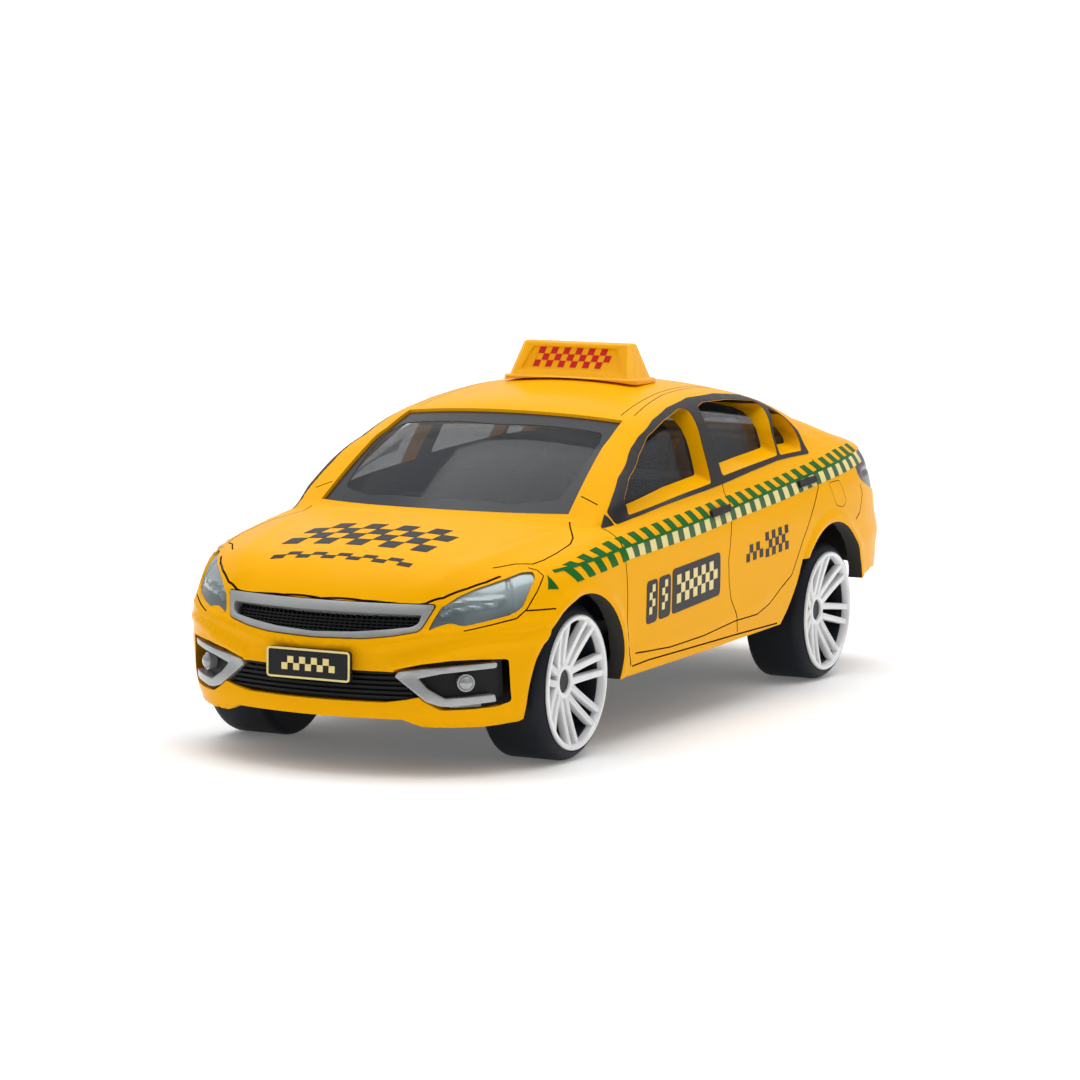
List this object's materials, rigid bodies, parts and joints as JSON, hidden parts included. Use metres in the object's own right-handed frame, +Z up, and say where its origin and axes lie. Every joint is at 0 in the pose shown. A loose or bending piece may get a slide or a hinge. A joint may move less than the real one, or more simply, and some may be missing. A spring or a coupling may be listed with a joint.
{
  "type": "diecast collector car",
  "caption": "Miniature diecast saloon taxi with a cast shell, tinted glazing, moulded cabin, roof sign, riveted chassis and free-rolling wheels on sprung axles.",
  "frame": {"origin": "on the ground under the middle of the car's overall length and width", "axes": "+Y towards the tail, +X towards the car's left side, +Z up"},
  "size_m": [0.028, 0.0712, 0.0261],
  "materials": {
    "body_paint": "high-gloss amber yellow enamel over zinc casting",
    "chassis_black": "satin black moulding",
    "interior_grey": "fine-grained dark grey moulding",
    "glazing": "clear smoke-tinted plastic",
    "sign_orange": "gloss orange-yellow moulding",
    "lamp_silver": "silvered behind a clear lens",
    "lamp_smoke": "dark smoked lens",
    "silver_paint": "silver painted trim",
    "grille_black": "satin black",
    "lamp_grey": "grey lens",
    "plate_black": "gloss black with a pale border",
    "steel": "bright drawn steel",
    "tyre": "smooth satin black",
    "rim_silver": "bright silver-white paint",
    "mark_black": "printed black",
    "mark_green": "printed green",
    "mark_pale": "printed pale cream",
    "mark_red": "printed red"
  },
  "bodies": {
    "car_body": {"body_shell": "body_paint", "chassis_base": "chassis_black", "interior_tub": "interior_grey", "glazing": "glazing", "roof_sign": "sign_orange", "headlamp_lens_left": "lamp_silver", "headlamp_lens_right": "lamp_silver", "tail_lamp_left": "lamp_smoke", "tail_lamp_right": "lamp_smoke", "grille_surround": "silver_paint", "grille_mesh": "grille_black", "bumper_grille": "grille_black", "fog_bezel_left": "silver_paint", "fog_bezel_right": "silver_paint", "fog_lamp_left": "lamp_grey", "fog_lamp_right": "lamp_grey", "front_plate": "plate_black", "rear_plate": "plate_black", "front_rivet": "steel", "rear_rivet": "steel", "front_spring": "steel", "rear_spring": "steel"},
    "front_axle_set": {"front_axle": "steel"},
    "rear_axle_set": {"rear_axle": "steel"},
    "wheel_front_left": {"wheel_front_left": "tyre", "rim_front_left": "rim_silver"},
    "wheel_front_right": {"wheel_front_right": "tyre", "rim_front_right": "rim_silver"},
    "wheel_rear_left": {"wheel_rear_left": "tyre", "rim_rear_left": "rim_silver"},
    "wheel_rear_right": {"wheel_rear_right": "tyre", "rim_rear_right": "rim_silver"}
  },
  "joints": [
    {"name": "front_suspension", "type": "slide", "parent": "car_body", "child": "front_axle_set", "axis": [0, 0, 1], "range_m": [0, 0.0006], "stiffness_N_per_m": 1000, "springref_m": -0.0004, "deforming": ["front_spring"]},
    {"name": "rear_suspension", "type": "slide", "parent": "car_body", "child": "rear_axle_set", "axis": [0, 0, 1], "range_m": [0, 0.0006], "stiffness_N_per_m": 1000, "springref_m": -0.0004, "deforming": ["rear_spring"]},
    {"name": "wheel_front_left_spin", "type": "hinge", "parent": "front_axle_set", "child": "wheel_front_left", "pos_m": [0.0107, -0.02265, 0.00525], "axis": [1, 0, 0], "continuous": true},
    {"name": "wheel_front_right_spin", "type": "hinge", "parent": "front_axle_set", "child": "wheel_front_right", "pos_m": [-0.0107, -0.02265, 0.00525], "axis": [1, 0, 0], "continuous": true},
    {"name": "wheel_rear_left_spin", "type": "hinge", "parent": "rear_axle_set", "child": "wheel_rear_left", "pos_m": [0.0107, 0.02075, 0.00525], "axis": [1, 0, 0], "continuous": true},
    {"name": "wheel_rear_right_spin", "type": "hinge", "parent": "rear_axle_set", "child": "wheel_rear_right", "pos_m": [-0.0107, 0.02075, 0.00525], "axis": [1, 0, 0], "continuous": true}
  ]
}
